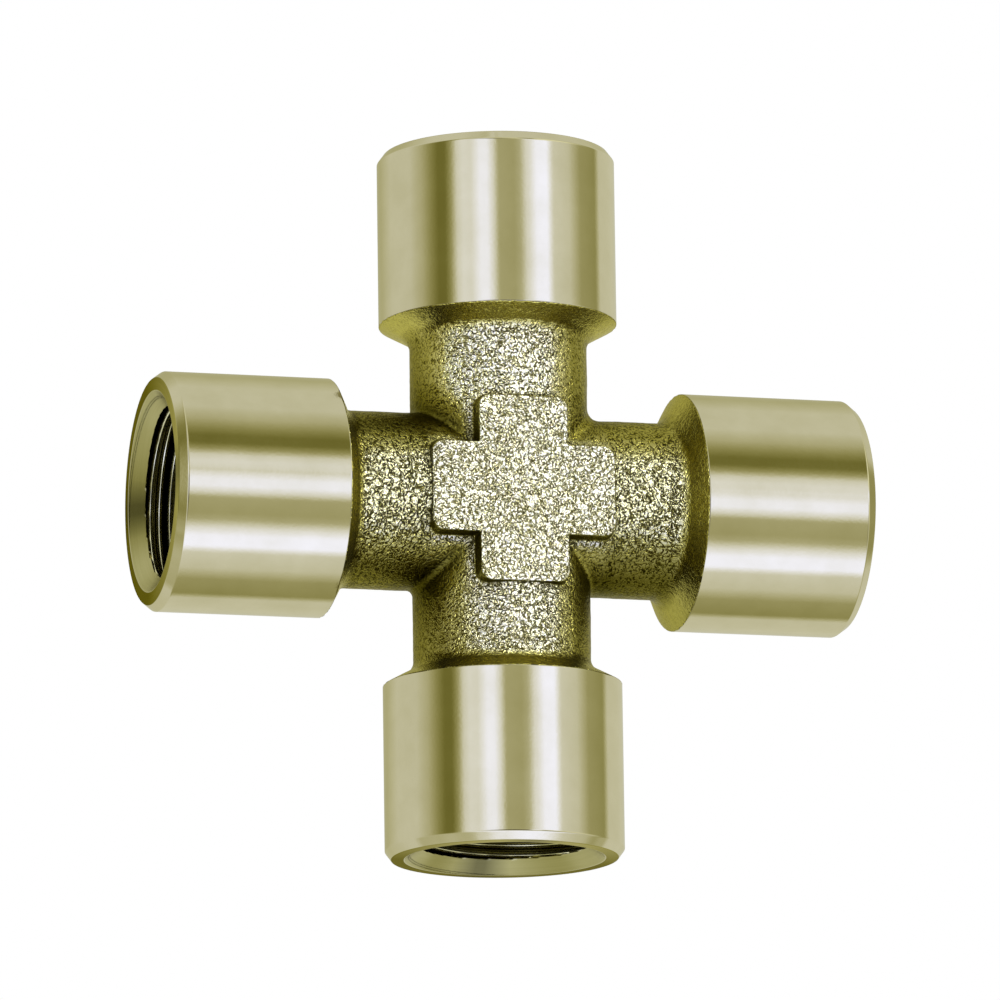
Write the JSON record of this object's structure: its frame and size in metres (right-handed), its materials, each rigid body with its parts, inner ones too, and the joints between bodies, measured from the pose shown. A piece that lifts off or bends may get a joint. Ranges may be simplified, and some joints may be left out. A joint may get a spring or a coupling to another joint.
{
  "type": "pipe cross fitting",
  "caption": "Cross-shaped brass pipe fitting: round turned sockets with internal parallel threads on a rough forged middle with plus-shaped pads, joining crossing pipe runs.",
  "frame": {"origin": "where the port axes cross, at the centre of the fitting", "axes": "+Z along the top port's axis, +X along the right port's axis, and the plus-shaped pads face -Y (front) and +Y (back)"},
  "size_m": [0.048, 0.016, 0.048],
  "materials": {
    "forged_brass": "as forged and shot-blasted, finely pebbled",
    "turned_brass": "fine turned, bright"
  },
  "bodies": {
    "root": {"forged_body": "forged_brass", "top_socket": "turned_brass", "right_socket": "turned_brass", "bottom_socket": "turned_brass", "left_socket": "turned_brass"}
  },
  "joints": []
}
